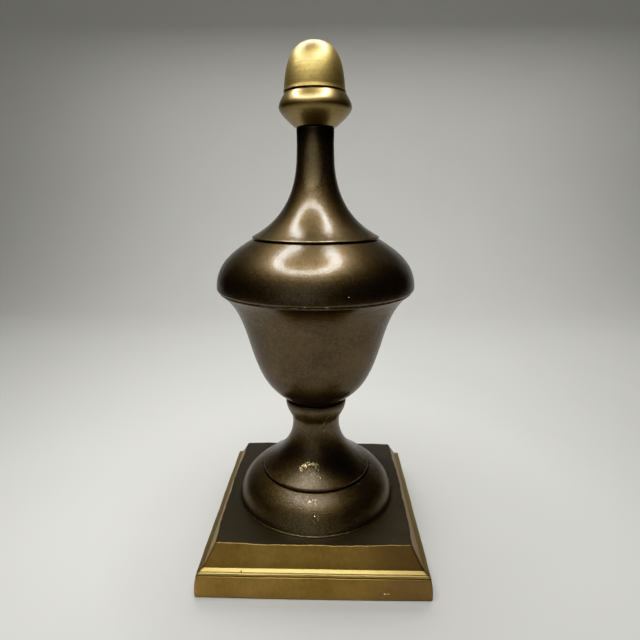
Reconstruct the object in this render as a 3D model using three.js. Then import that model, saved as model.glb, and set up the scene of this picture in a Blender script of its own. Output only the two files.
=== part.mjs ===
// Turned and cast brass finial: a lidded urn form on a square moulded base, topped by an acorn.
// Millimetres, +Z up. The origin is the centre of the underside, and the base's sides lie along X and Y.

import * as THREE from "three";

// Square base
const baseHalfWidth = 50.8;
const baseHeight = 20.5;
const fasciaHeight = 9.8;
const fasciaSetback = 1.5;
const beadDepth = 2.1;
const beadHeight = 2.0;
const plateHalfWidth = 42.3;
const plateEdge = 0.5;

// Pedestal, with heights measured from the top of the base
const footRadius = 38.6;
const cushionHeight = 13.6;
const cushionTopRadius = 26.5;
const stepRadius = 26.0;
const stepRise = 1.0;
const waistRadius = 11.3;
const waistHeight = 37.0;
const collarNeckRadius = 11.75;
const collarNeckHeight = 40.6;
const collarRadius = 14.55;
const collarRimDepth = 1.7;
const collarEdge = 0.3;
const pedestalHeight = 49.9;

// Bowl, with heights measured from the top of the pedestal
const bowlSeatRadius = 13.6;
const bowlHipRadius = 27.5;
const bowlHipHeight = 18.1;
const bowlRimRadius = 43.2;
const bowlRimHeight = 52.65;
const bowlLip = 0.55;

// Lid, neck included, with heights measured from the top of the bowl
const lidRadius = 44.3;
const lidEdgeRadius = 1.1;
const crestRadius = 28.4;
const crestHeight = 22.0;
const grooveDepth = 0.8;
const grooveRise = 0.25;
const skirtRadius = 28.15;
const skirtRise = 1.0;
const neckRadius = 8.1;
const neckFootHeight = 56.6;
const slimRadius = 7.9;
const slimHeight = 61.9;
const neckTopRadius = 8.0;
const lidHeight = 67.95;

// Acorn cup, with heights measured from the top of the neck
const cupSeatRadius = 8.6;
const cupRadius = 15.3;
const cupWidestHeight = 7.9;
const cupHeight = 13.15;

// Acorn, with its height measured from the top of its cup. It sits a little off the axis.
const acornRadius = 12.95;
const acornHeight = 19.8;
const acornOffset = -0.3;

// Every joint between two pieces is a fine dark seam of this width
const seam = 0.3;

// Sides of a turned piece, and of the square base
const turnedSides = 48;
const squareSides = 4;

const direction = (degrees) => new THREE.Vector2(
  Math.cos(THREE.MathUtils.degToRad(degrees)), Math.sin(THREE.MathUtils.degToRad(degrees)));

const corner = (radius, height) => [new THREE.Vector2(radius, height)];

// A smooth stretch of profile that leaves one point and reaches the next along given headings.
// Headings are in degrees, 0 outwards and 90 upwards. A pull says how long the curve keeps its
// heading, as a share of the straight distance between the two points.
function sweep(from, to, steps) {
  const start = new THREE.Vector2(...from.at);
  const end = new THREE.Vector2(...to.at);
  const distance = start.distanceTo(end);
  const curve = new THREE.CubicBezierCurve(
    start,
    start.clone().addScaledVector(direction(from.heading), from.pull * distance),
    end.clone().addScaledVector(direction(to.heading), -to.pull * distance),
    end,
  );
  return curve.getPoints(steps);
}

// The quarter round between a flat underside at the given height and the wall above it.
function lowerEdge(radius, height, round, steps) {
  const centre = new THREE.Vector2(radius - round, height + round);
  return Array.from({ length: steps + 1 }, (_, i) =>
    centre.clone().addScaledVector(direction(-90 + (90 * i) / steps), round));
}

// Neighbouring stretches may share an end point, which is kept once.
function outline(...stretches) {
  const points = stretches.flat();
  return points.filter((point, i) => i === 0 || point.distanceTo(points[i - 1]) > 1e-3);
}

function turned(profile, sides = turnedSides) {
  const geometry = new THREE.LatheGeometry(profile, sides);
  geometry.rotateX(Math.PI / 2);
  return geometry;
}

const finish = {
  brass: { color: 0x9c8650, roughness: 0.42, metalness: 1.0 },
  darkBronze: { color: 0x4a3d2b, roughness: 0.46, metalness: 0.85 },
};

function piece(name, geometry, look, height) {
  const mesh = new THREE.Mesh(geometry, new THREE.MeshStandardMaterial(look));
  mesh.name = name;
  mesh.position.z = height;
  return mesh;
}

// A moulded square is a turning with four sides, whose corners lie further out than its flats.
// From the bottom: leaning fascia, narrow bead, shallow cove, plate.
function squareBase() {
  const toCorner = 1 / Math.cos(Math.PI / squareSides);
  const fasciaTop = baseHalfWidth - fasciaSetback;
  const coveFoot = fasciaTop - beadDepth;
  const coveFootHeight = fasciaHeight + beadHeight;
  const profile = outline(
    corner(0, 0),
    sweep(
      { at: [baseHalfWidth, 0], heading: 95, pull: 0.33 },
      { at: [fasciaTop, fasciaHeight], heading: 101, pull: 0.33 }, 3),
    sweep(
      { at: [fasciaTop, fasciaHeight], heading: 92, pull: 0.4 },
      { at: [coveFoot, coveFootHeight], heading: 165, pull: 0.4 }, 4),
    sweep(
      { at: [coveFoot, coveFootHeight], heading: 129, pull: 0.33 },
      { at: [plateHalfWidth, baseHeight - plateEdge], heading: 113, pull: 0.33 }, 6),
    corner(plateHalfWidth - plateEdge, baseHeight),
    corner(0, baseHeight),
  );
  profile.forEach((point) => point.setX(point.x * toCorner));
  const geometry = turned(profile, squareSides);
  geometry.rotateZ(Math.PI / squareSides);
  return geometry;
}

// Round cushion foot, sharp step, flare to the waist, and a collar that widens to carry the bowl.
function pedestal() {
  return turned(outline(
    corner(0, seam),
    sweep(
      { at: [footRadius, seam], heading: 107, pull: 0.41 },
      { at: [cushionTopRadius, cushionHeight], heading: 165, pull: 0.3 }, 8),
    corner(stepRadius, cushionHeight),
    sweep(
      { at: [stepRadius, cushionHeight + stepRise], heading: 149, pull: 0.32 },
      { at: [waistRadius, waistHeight], heading: 90, pull: 0.37 }, 10),
    sweep(
      { at: [waistRadius, waistHeight], heading: 90, pull: 0.4 },
      { at: [collarNeckRadius, collarNeckHeight], heading: 78, pull: 0.3 }, 2),
    sweep(
      { at: [collarNeckRadius, collarNeckHeight], heading: 63, pull: 0.28 },
      { at: [collarRadius, pedestalHeight - collarRimDepth], heading: 88, pull: 0.4 }, 4),
    corner(collarRadius, pedestalHeight - collarEdge),
    corner(collarRadius - collarEdge, pedestalHeight),
    corner(0, pedestalHeight),
  ));
}

// The body swells from its seat to a hip and opens like a bell to the rim under the lid.
function bowl() {
  return turned(outline(
    corner(0, seam),
    sweep(
      { at: [bowlSeatRadius, seam], heading: 40, pull: 0.43 },
      { at: [bowlHipRadius, bowlHipHeight], heading: 69.5, pull: 0.42 }, 8),
    sweep(
      { at: [bowlHipRadius, bowlHipHeight], heading: 69.5, pull: 0.35 },
      { at: [bowlRimRadius, bowlRimHeight], heading: 36, pull: 0.33 }, 9),
    corner(bowlRimRadius, bowlRimHeight + bowlLip),
    corner(0, bowlRimHeight + bowlLip),
  ));
}

// Fat cushion rim, a turned groove, the overhanging skirt, and the neck rising out of it.
function lid() {
  return turned(outline(
    corner(0, seam),
    lowerEdge(lidRadius, seam, lidEdgeRadius, 3),
    sweep(
      { at: [lidRadius, seam + lidEdgeRadius], heading: 90, pull: 0.39 },
      { at: [crestRadius, crestHeight], heading: 149, pull: 0.38 }, 10),
    corner(crestRadius - grooveDepth, crestHeight + grooveRise),
    sweep(
      { at: [skirtRadius, crestHeight + skirtRise], heading: 152, pull: 0.41 },
      { at: [neckRadius, neckFootHeight], heading: 91.5, pull: 0.355 }, 12),
    corner(slimRadius, slimHeight),
    corner(neckTopRadius, lidHeight),
    corner(0, lidHeight),
  ));
}

// A ring that widens from the neck, turns over at its widest and closes in under the acorn.
function acornCup() {
  return turned(outline(
    corner(0, seam),
    sweep(
      { at: [cupSeatRadius, seam], heading: 40, pull: 0.36 },
      { at: [cupRadius, cupWidestHeight], heading: 90, pull: 0.2 }, 6),
    sweep(
      { at: [cupRadius, cupWidestHeight], heading: 90, pull: 0.33 },
      { at: [acornRadius, cupHeight], heading: 116, pull: 0.23 }, 4),
    corner(0, cupHeight),
  ));
}

// The domed cap, with sides that lean in slightly before they round over.
function acorn() {
  return turned(outline(
    corner(0, seam),
    sweep(
      { at: [acornRadius, seam], heading: 96, pull: 0.54 },
      { at: [0, acornHeight], heading: 180, pull: 0.46 }, 12),
  ));
}

const pedestalSeat = baseHeight;
const bowlSeat = pedestalSeat + pedestalHeight;
const lidSeat = bowlSeat + bowlRimHeight + bowlLip;
const cupSeat = lidSeat + lidHeight;
const acornSeat = cupSeat + cupHeight;

const finial = new THREE.Group();
finial.add(
  piece("square_base", squareBase(), finish.brass, 0),
  piece("pedestal", pedestal(), finish.darkBronze, pedestalSeat),
  piece("bowl", bowl(), finish.darkBronze, bowlSeat),
  piece("lid", lid(), finish.darkBronze, lidSeat),
  piece("acorn_cup", acornCup(), finish.brass, cupSeat),
  piece("acorn", acorn(), finish.brass, acornSeat),
);
finial.getObjectByName("acorn").position.x = acornOffset;

export default finial;
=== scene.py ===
"""Looks of a lidded urn finial with an acorn top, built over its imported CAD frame.

The finial is a moulded square base of satin brass, four dark bronze turnings (pedestal, bowl,
lid with its neck) and a turned brass knob (cup and acorn). Sizes in the classes are millimetres,
and meshes are in metres, in the frame of the CAD.
"""

import logging
import math
from dataclasses import dataclass, field, replace
from enum import Enum
from typing import Sequence, Union

import bpy
import numpy as np
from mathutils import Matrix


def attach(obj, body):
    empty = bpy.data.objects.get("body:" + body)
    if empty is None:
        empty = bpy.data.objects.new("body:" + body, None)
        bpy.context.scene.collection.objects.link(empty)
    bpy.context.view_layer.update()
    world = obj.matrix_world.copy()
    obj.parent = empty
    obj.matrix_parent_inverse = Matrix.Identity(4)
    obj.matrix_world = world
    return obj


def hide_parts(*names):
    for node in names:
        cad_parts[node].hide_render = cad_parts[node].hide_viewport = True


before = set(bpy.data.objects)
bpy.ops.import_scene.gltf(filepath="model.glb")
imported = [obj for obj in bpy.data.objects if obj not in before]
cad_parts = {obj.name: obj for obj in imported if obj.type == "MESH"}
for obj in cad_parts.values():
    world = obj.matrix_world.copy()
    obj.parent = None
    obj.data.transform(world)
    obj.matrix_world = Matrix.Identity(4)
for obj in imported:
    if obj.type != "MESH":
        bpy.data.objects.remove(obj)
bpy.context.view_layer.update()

LOG = logging.getLogger("finial")
MM = 0.001

# Columns of the large turned pieces, and of the knob's
TURNED_SIDES = 224
KNOB_SIDES = 192

Array = np.ndarray
Point = tuple[float, float, float]
Colour = tuple[float, float, float]
Socket = bpy.types.NodeSocket
Sockets = bpy.types.bpy_prop_collection
Input = Union[Socket, float, Point]


# Profiles and surfaces


@dataclass(frozen=True)
class Way:
    """A place on a turned profile, and the way the curve runs through it.

    The heading is in degrees, 0 outwards and 90 upwards. The pull says how long the curve keeps
    that heading, as a share of the straight distance to the other end of its stretch.
    """

    radius: float
    height: float
    heading: float
    pull: float = 0.35

    @property
    def at(self) -> tuple[float, float]:
        """Radius and height of the place."""
        return self.radius, self.height

    def pulled(self, pull: float) -> "Way":
        """Returns the same way with another pull."""
        return replace(self, pull=pull)


def sweep(start: Way, end: Way, steps: int = 160) -> Array:
    """Draws a smooth stretch of profile between two ways.

    Formula: the cubic Bezier curve (1-t)^3 A + 3(1-t)^2 t B + 3(1-t) t^2 C + t^3 D, where B lies
    ahead of A along its heading, and C lies behind D along its own.

    Args:
        start: Where the stretch begins.
        end: Where it ends.
        steps: Number of chords.

    Returns:
        The points as rows of radius and height, in millimetres.
    """
    first, last = np.array(start.at), np.array(end.at)
    reach = np.linalg.norm(last - first)
    leave, arrive = np.radians(start.heading), np.radians(end.heading)
    ahead = first + start.pull * reach * np.array([np.cos(leave), np.sin(leave)])
    behind = last - end.pull * reach * np.array([np.cos(arrive), np.sin(arrive)])
    t = np.linspace(0.0, 1.0, steps + 1)[:, None]
    return (1 - t) ** 3 * first + 3 * (1 - t) ** 2 * t * ahead + 3 * (1 - t) * t**2 * behind + t**3 * last


def straight(*corners: tuple[float, float]) -> Array:
    """Returns the corners of a stretch made of straight chords, as rows of radius and height."""
    return np.array(corners, dtype=float)


def ramp(values: Array, low: float, high: float) -> Array:
    """Returns how far each value lies from low to high, held from 0 to 1."""
    return np.clip((values - low) / (high - low), 0.0, 1.0)


@dataclass(frozen=True)
class Profile:
    """A closed half section from the axis below to the axis above.

    Attributes:
        points: Rows of radius and height, in millimetres.
        arris: How sharply each row turns outwards, from 0 on a plain surface to 1 on an edge.
        hollow: The same for inward turns, such as the bottom of a groove.
    """

    points: Array
    arris: Array
    hollow: Array


# Fineness of the walk along a chain: steps for one softening width, and the bell's reach in steps
WALK_STEPS = 5
BELL_REACH = 20
# Width and strength of the edge masks against the softening width, and rows on a flat against a curve
MASK_WIDTH = 2.2
MASK_GAIN = 4.0
FLAT_SHARE = 0.12


def eased(stretches: Sequence[Array], soften: float, spacing: float = 0.9, turn: float = 5.0) -> Profile:
    """Joins stretches into one profile, rounds its edges and spaces its rows.

    Formula: the chain of stretches is walked at fine even steps and averaged along its length
    with a bell curve of the given width, which rounds an edge and leaves long curves as they
    are. Beyond the axis the chain goes on as its own mirror image. Rows then lie so that each
    next one is either the given distance on, or the given turn of heading on, and flats get few.

    Args:
        stretches: The pieces of the profile in order, each as rows of radius and height.
        soften: Width of the bell curve, about the radius left on a square edge, in millimetres.
        spacing: Greatest distance between rows on a curved surface, in millimetres.
        turn: Greatest change of heading between rows, in degrees.

    Returns:
        The finished profile.
    """
    chain = np.concatenate(list(stretches))
    gaps = np.linalg.norm(np.diff(chain, axis=0), axis=1)
    chain = chain[np.r_[True, gaps > 1e-6]]
    run = np.r_[0.0, np.cumsum(np.linalg.norm(np.diff(chain, axis=0), axis=1))]
    step = soften / WALK_STEPS
    walk = np.linspace(0.0, run[-1], int(run[-1] / step) + 1)
    even = np.stack([np.interp(walk, run, chain[:, k]) for k in (0, 1)], axis=1)

    reach = BELL_REACH
    flip = np.array([-1.0, 1.0])
    padded = np.concatenate([even[reach:0:-1] * flip, even, even[-2 : -reach - 2 : -1] * flip])
    bell = np.exp(-0.5 * (np.arange(-reach, reach + 1) * step / soften) ** 2)
    bell /= bell.sum()
    smooth = np.stack([np.convolve(padded[:, k], bell, "valid") for k in (0, 1)], axis=1)
    smooth[[0, -1], 0] = 0.0

    heading = np.unwrap(np.arctan2(np.gradient(smooth[:, 1]), np.gradient(smooth[:, 0])))
    bend = np.gradient(heading) / step
    wide = np.exp(-0.5 * (np.arange(-3 * reach, 3 * reach + 1) * step / (MASK_WIDTH * soften)) ** 2)
    broad = np.convolve(bend, wide / wide.sum(), "same")
    flat = (np.abs(np.sin(heading)) < 2e-3) & (np.abs(bend) < 1e-3)
    density = np.where(flat, FLAT_SHARE, 1.0) / spacing + np.abs(bend) / math.radians(turn)
    count = np.r_[0.0, np.cumsum(0.5 * (density[1:] + density[:-1]) * step)]
    rows = np.interp(np.linspace(0.0, count[-1], int(count[-1]) + 2), count, walk)
    points = np.stack([np.interp(rows, walk, smooth[:, k]) for k in (0, 1)], axis=1)
    edge = np.interp(rows, walk, broad) * soften * MASK_GAIN
    return Profile(points, np.clip(edge, 0.0, 1.0), np.clip(-edge, 0.0, 1.0))


@dataclass
class Surface:
    """A closed skin of rows carried round the axis, with one point at each pole.

    Attributes:
        rings: Points as rows, columns and coordinates, in millimetres, poles left out.
        poles: The point below and the point above.
        masks: One value for each row of a named mask, poles included.
    """

    rings: Array
    poles: Array
    masks: dict[str, Array] = field(default_factory=dict)

    def mesh(self, name: str) -> bpy.types.Mesh:
        """Makes the mesh: four-sided faces between rows, and a fan of triangles at each pole.

        Args:
            name: Name of the mesh.

        Returns:
            A smooth-shaded mesh in metres, with one float attribute for each mask.
        """
        rows, columns = self.rings.shape[:2]
        points = np.concatenate([self.rings.reshape(-1, 3), self.poles]) * MM
        row = np.arange(rows - 1)[:, None] * columns
        here = np.arange(columns)[None, :]
        there = (here + 1) % columns
        above = row + columns
        quads = np.stack([row + here, row + there, above + there, above + here], axis=-1)
        low, high = rows * columns, rows * columns + 1
        last = (rows - 1) * columns
        foot = np.stack([np.full(columns, low), there[0], here[0]], axis=-1)
        head = np.stack([np.full(columns, high), last + here[0], last + there[0]], axis=-1)
        faces = quads.reshape(-1, 4).tolist() + foot.tolist() + head.tolist()
        mesh = bpy.data.meshes.new(name)
        mesh.from_pydata(points, [], faces)
        for title, values in self.masks.items():
            spread = np.r_[np.repeat(values[1:-1], columns), values[0], values[-1]]
            attribute = mesh.attributes.new(title, "FLOAT", "POINT")
            attribute.data.foreach_set("value", spread.astype(np.float32))
        mesh.shade_smooth()
        mesh.update()
        return mesh


def turned(profile: Profile, sides: int, axis_x: float = 0.0) -> Surface:
    """Carries a profile round the upright axis.

    Formula: the point at angle a of a row with radius r and height z is
    (axis_x + r cos a, r sin a, z).

    Args:
        profile: The half section.
        sides: Number of columns.
        axis_x: How far the axis lies to the right of the finial's own.

    Returns:
        The closed surface.
    """
    angle = np.linspace(0.0, 2.0 * np.pi, sides, endpoint=False)
    radius, height = profile.points[:, 0:1], profile.points[:, 1:2]
    x, y = axis_x + radius * np.cos(angle), radius * np.sin(angle)
    rings = np.stack([x, y, np.broadcast_to(height, x.shape)], axis=-1)
    poles = rings[[0, -1], 0]
    return Surface(rings[1:-1], poles, {"arris": profile.arris, "hollow": profile.hollow})


# Waves of a hand-filed side: height, rate along the side, phase, and its turn from side to side
FILED_WAVES = ((1.0, 7.3, 0.0, 1.7), (0.6, 16.1, 0.9, 1.0), (0.35, 37.0, 0.0, 0.0))


def moulded(profile: Profile, corner: float, bow: Array, wave: Array, across: int, bend: int) -> Surface:
    """Carries a profile round a square with rounded corners and slightly bowed sides.

    Formula: on a side, the point at t from -1 to 1 of a row with half-width w lies at
    (c + bow (1 - t^2) + wave (1 - t^6) sines(t), t (c - r)), where c = w - bow is the half-width
    at the corner and r its radius. A corner is the quarter circle of radius r about (c - r, c - r).
    The other three sides are the same turned by quarter turns.

    Args:
        profile: The half section, whose radius is the half-width.
        corner: Radius of the upright corners, in millimetres.
        bow: For each row, how much further out a side's middle lies than its ends.
        wave: For each row, the height of its hand-filed waviness.
        across: Number of chords along a side.
        bend: Number of chords round a corner.

    Returns:
        The closed surface.
    """
    half, height = profile.points[:, 0:1], profile.points[:, 1:2]
    bow, wave = bow[:, None], wave[:, None]
    outer = np.maximum(half - bow, 0.0)
    radius = np.minimum(corner, 0.5 * outer)
    t = np.linspace(-1.0, 1.0, across + 1)[None, :]
    phi = np.linspace(0.0, 0.5 * np.pi, bend + 1)[None, 1:-1]
    quarters = []
    for side in range(4):
        ripple = sum(
            size * np.sin(rate * t + phase + turn * side) for size, rate, phase, turn in FILED_WAVES
        )
        flank = outer + np.minimum(bow, half) * (1 - t**2) + wave * ripple * (1 - t**6)
        x = np.concatenate([flank, outer - radius + radius * np.cos(phi)], axis=1)
        y = np.concatenate([t * (outer - radius), outer - radius + radius * np.sin(phi)], axis=1)
        cosine, sine = np.cos(0.5 * np.pi * side), np.sin(0.5 * np.pi * side)
        quarter = [x * cosine - y * sine, x * sine + y * cosine, np.broadcast_to(height, x.shape)]
        quarters.append(np.stack(quarter, axis=-1))
    rings = np.concatenate(quarters, axis=1)
    poles = np.array([[0.0, 0.0, profile.points[0, 1]], [0.0, 0.0, profile.points[-1, 1]]])
    return Surface(rings[1:-1], poles, {"arris": profile.arris, "hollow": profile.hollow})


# Shader nodes


class Graph:
    """Adds nodes to one shader tree and joins them with short calls."""

    def __init__(self, tree: bpy.types.NodeTree) -> None:
        """Takes the tree that the nodes go into."""
        self.tree = tree

    def add(self, kind: str, **settings: object) -> bpy.types.Node:
        """Adds one node.

        Args:
            kind: Blender's name of the node's type.
            settings: Properties of the node, such as its operation.

        Returns:
            The node.
        """
        node = self.tree.nodes.new(kind)
        for key, value in settings.items():
            setattr(node, key, value)
        return node

    def feed(self, socket: Socket, value: Input) -> None:
        """Joins a socket to another one, or sets its value.

        Args:
            socket: The input socket.
            value: The other socket, or the value.
        """
        if isinstance(value, bpy.types.NodeSocket):
            self.tree.links.new(value, socket)
        else:
            socket.default_value = value

    def math(self, operation: str, *values: Input, clamp: bool = False) -> Socket:
        """Works out a number from one to three others.

        Args:
            operation: Name of the operation.
            values: Its operands.
            clamp: Whether the result is kept from 0 to 1.

        Returns:
            The result's socket.
        """
        node = self.add("ShaderNodeMath", operation=operation, use_clamp=clamp)
        for socket, value in zip(node.inputs, values):
            self.feed(socket, value)
        return node.outputs[0]

    def vector(self, operation: str, *values: Input) -> Socket:
        """Works out a vector, or a vector's length, from one or two others.

        Args:
            operation: Name of the operation.
            values: Its operands.

        Returns:
            The result's socket.
        """
        node = self.add("ShaderNodeVectorMath", operation=operation)
        for socket, value in zip(node.inputs, values):
            self.feed(socket, value)
        return node.outputs["Value" if operation in ("LENGTH", "DOT_PRODUCT", "DISTANCE") else "Vector"]

    def parts(self, vector: Socket) -> Sockets:
        """Returns the sockets of a vector's three parts."""
        node = self.add("ShaderNodeSeparateXYZ")
        self.feed(node.inputs[0], vector)
        return node.outputs

    def joined(self, x: Input = 0.0, y: Input = 0.0, z: Input = 0.0) -> Socket:
        """Returns the socket of a vector made of three numbers."""
        node = self.add("ShaderNodeCombineXYZ")
        for socket, value in zip(node.inputs, (x, y, z)):
            self.feed(socket, value)
        return node.outputs[0]

    def span(
        self, value: Input, low: Input, high: Input, bottom: Input = 0.0, top: Input = 1.0
    ) -> Socket:
        """Maps a range of numbers smoothly onto another and holds the ends.

        Args:
            value: The number.
            low: Start of the range.
            high: End of the range.
            bottom: Result at the start.
            top: Result at the end.

        Returns:
            The result's socket.
        """
        node = self.add("ShaderNodeMapRange", interpolation_type="SMOOTHSTEP", clamp=True)
        names = ("Value", "From Min", "From Max", "To Min", "To Max")
        for name, part in zip(names, (value, low, high, bottom, top)):
            self.feed(node.inputs[name], part)
        return node.outputs[0]

    def blend(self, share: Input, under: Input, over: Input) -> Socket:
        """Mixes two colours.

        Args:
            share: Share of the upper colour.
            under: The lower colour.
            over: The upper colour.

        Returns:
            The result's socket.
        """
        node = self.add("ShaderNodeMix", data_type="RGBA")
        self.feed(node.inputs[0], share)
        for index, value in ((6, under), (7, over)):
            self.feed(node.inputs[index], (*value, 1.0) if isinstance(value, tuple) else value)
        return node.outputs[2]

    def noise(self, place: Socket, scale: Input, detail: float = 3.0, rough: float = 0.5) -> Socket:
        """Places a cloudy noise.

        Args:
            place: Socket of the place it is read at.
            scale: Cells in one metre.
            detail: Number of finer layers.
            rough: Strength of each finer layer against the one before.

        Returns:
            Socket of the noise, from 0 to 1.
        """
        node = self.add("ShaderNodeTexNoise")
        self.feed(node.inputs["Vector"], place)
        self.feed(node.inputs["Scale"], scale)
        node.inputs["Detail"].default_value = detail
        node.inputs["Roughness"].default_value = rough
        return node.outputs[0]

    def use(self, group: bpy.types.NodeTree, **values: Input) -> bpy.types.Node:
        """Places a node group.

        Args:
            group: The group.
            values: Its inputs by name, with underscores for spaces.

        Returns:
            The group's node.
        """
        node = self.add("ShaderNodeGroup", node_tree=group)
        for name, value in values.items():
            self.feed(node.inputs[name.replace("_", " ")], value)
        return node


def new_group(
    name: str, inputs: dict[str, Union[float, str]], outputs: Sequence[str]
) -> tuple[Graph, Sockets, Sockets]:
    """Starts a shader node group.

    Args:
        name: Name of the group.
        inputs: Input names, each with its default number, or the word vector.
        outputs: Names of the numbers that it puts out.

    Returns:
        The group's graph, the sockets that hold its inputs and those that take its outputs.
    """
    tree = bpy.data.node_groups.new(name, "ShaderNodeTree")
    for title, start in inputs.items():
        kind = "NodeSocketVector" if start == "vector" else "NodeSocketFloat"
        socket = tree.interface.new_socket(name=title, in_out="INPUT", socket_type=kind)
        if start != "vector":
            socket.default_value = start
    for title in outputs:
        tree.interface.new_socket(name=title, in_out="OUTPUT", socket_type="NodeSocketFloat")
    graph = Graph(tree)
    return graph, graph.add("NodeGroupInput").outputs, graph.add("NodeGroupOutput").inputs


class Effects:
    """The surface effects that several finishes share, each a node group built once."""

    def __init__(self) -> None:
        """Builds the groups."""
        self.clouding = self._clouding()
        self.flake = self._flake()
        self.turning = self._turning()
        self.edge_wear = self._edge_wear()
        self.rub = self._rub()
        self.scratch = self._scratch()

    @staticmethod
    def _clouding() -> bpy.types.NodeTree:
        """Uneven patina: slow clouds with a finer layer over them, as one mask from 0 to 1.

        Returns:
            The group.
        """
        graph, given, made = new_group(
            "clouding", {"Vector": "vector", "Scale": 60.0, "Contrast": 1.0}, ["Mask"]
        )
        broad = graph.noise(given["Vector"], given["Scale"], 4.0, 0.55)
        finer = graph.noise(given["Vector"], graph.math("MULTIPLY", given["Scale"], 6.3), 3.0, 0.6)
        both = graph.math("MULTIPLY_ADD", finer, 0.35, graph.math("MULTIPLY", broad, 0.65))
        centred = graph.math("SUBTRACT", both, 0.5)
        spread = graph.math("MULTIPLY", centred, graph.math("MULTIPLY", given["Contrast"], 2.4))
        graph.feed(made["Mask"], graph.math("ADD", spread, 0.5, clamp=True))
        return graph.tree

    @staticmethod
    def _flake() -> bpy.types.NodeTree:
        """Metallic grain: a fine pebbled height, and single bright flecks where cells say so.

        Returns:
            The group.
        """
        graph, given, made = new_group(
            "flake", {"Vector": "vector", "Size mm": 0.35, "Share": 0.12}, ["Height", "Fleck"]
        )
        scale = graph.math("DIVIDE", 1000.0, given["Size mm"])
        graph.feed(made["Height"], graph.noise(given["Vector"], scale, 2.0, 0.6))
        cells = graph.add("ShaderNodeTexVoronoi", feature="F1")
        graph.feed(cells.inputs["Vector"], given["Vector"])
        graph.feed(cells.inputs["Scale"], scale)
        chance = graph.add("ShaderNodeSeparateColor")
        graph.feed(chance.inputs[0], cells.outputs["Color"])
        bright = graph.math("LESS_THAN", chance.outputs[0], given["Share"])
        near = graph.span(cells.outputs["Distance"], 0.15, 0.5, 1.0, 0.0)
        graph.feed(made["Fleck"], graph.math("MULTIPLY", bright, near))
        return graph.tree

    @staticmethod
    def _turning() -> bpy.types.NodeTree:
        """Lathe marks: fine lines round the axis, from noise on radius and height alone.

        Returns:
            The group.
        """
        graph, given, made = new_group(
            "turning marks", {"Vector": "vector", "Pitch mm": 0.5, "Drift": 0.3}, ["Height"]
        )
        x, y, z = graph.parts(given["Vector"])
        radius = graph.vector("LENGTH", graph.joined(x, y))
        slow = graph.noise(given["Vector"], 90.0, 1.0)
        drift = graph.math("MULTIPLY", slow, graph.math("MULTIPLY", given["Drift"], 0.004))
        scale = graph.math("DIVIDE", 1000.0, given["Pitch mm"])
        graph.feed(made["Height"], graph.noise(graph.joined(radius, drift, z), scale, 3.0, 0.65))
        return graph.tree

    @staticmethod
    def _edge_wear() -> bpy.types.NodeTree:
        """Rubbed edges: the edge mask, broken up by noise so that wear comes and goes.

        Returns:
            The group.
        """
        graph, given, made = new_group(
            "edge wear", {"Vector": "vector", "Edge": 0.0, "Scale": 300.0, "Reach": 0.5}, ["Mask"]
        )
        breakup = graph.noise(given["Vector"], given["Scale"], 4.0, 0.6)
        reached = graph.math("ADD", given["Edge"], given["Reach"])
        level = graph.math("MULTIPLY_ADD", breakup, -1.1, reached)
        graph.feed(made["Mask"], graph.span(level, 0.35, 0.75))
        return graph.tree

    @staticmethod
    def _rub() -> bpy.types.NodeTree:
        """One rubbed place: a ragged spot about a centre, with its own size along each axis.

        Thin keeps the spot from closing up: at 0 its middle is bare, and near 1 it is only specks.

        Returns:
            The group.
        """
        graph, given, made = new_group(
            "rubbed place",
            {
                "Vector": "vector",
                "Centre mm": "vector",
                "Size mm": "vector",
                "Grain": 1450.0,
                "Ragged": 0.8,
                "Thin": 0.0,
            },
            ["Mask"],
        )
        millimetres = graph.vector("MULTIPLY", given["Vector"], (1000.0, 1000.0, 1000.0))
        offset = graph.vector("SUBTRACT", millimetres, given["Centre mm"])
        distance = graph.vector("LENGTH", graph.vector("DIVIDE", offset, given["Size mm"]))
        reached = graph.math("MAXIMUM", distance, given["Thin"])
        speckle = graph.noise(given["Vector"], given["Grain"], 2.0, 0.6)
        breakup = graph.math("SUBTRACT", speckle, 0.5)
        swing = graph.math("MULTIPLY", breakup, graph.math("MULTIPLY", given["Ragged"], 4.0))
        graph.feed(made["Mask"], graph.span(graph.math("ADD", reached, swing), 0.75, 1.05, 1.0, 0.0))
        return graph.tree

    @staticmethod
    def _scratch() -> bpy.types.NodeTree:
        """One scratch: a mask that is 1 within its width of the chord from start to end.

        Depth along Y counts for a quarter, so that a chord's mask reaches a round surface.

        Returns:
            The group.
        """
        graph, given, made = new_group(
            "scratch",
            {"Vector": "vector", "Start mm": "vector", "End mm": "vector", "Width mm": 0.2},
            ["Mask"],
        )
        squash = (1.0, 0.25, 1.0)
        place = graph.vector("MULTIPLY", given["Vector"], (1000.0, 1000.0, 1000.0))
        whole = graph.vector("SUBTRACT", given["End mm"], given["Start mm"])
        along = graph.vector("MULTIPLY", whole, squash)
        out = graph.vector("MULTIPLY", graph.vector("SUBTRACT", place, given["Start mm"]), squash)
        covered = graph.vector("DOT_PRODUCT", out, along)
        share = graph.math("DIVIDE", covered, graph.vector("DOT_PRODUCT", along, along), clamp=True)
        scaled = graph.add("ShaderNodeVectorMath", operation="SCALE")
        graph.feed(scaled.inputs[0], along)
        graph.feed(scaled.inputs["Scale"], share)
        distance = graph.vector("LENGTH", graph.vector("SUBTRACT", out, scaled.outputs[0]))
        wobble = graph.math("MULTIPLY_ADD", graph.noise(given["Vector"], 900.0), 1.4, -0.5)
        edge = graph.math("MULTIPLY", given["Width mm"], graph.math("ADD", wobble, 0.8))
        graph.feed(made["Mask"], graph.math("LESS_THAN", distance, edge))
        return graph.tree


# Finishes


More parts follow.
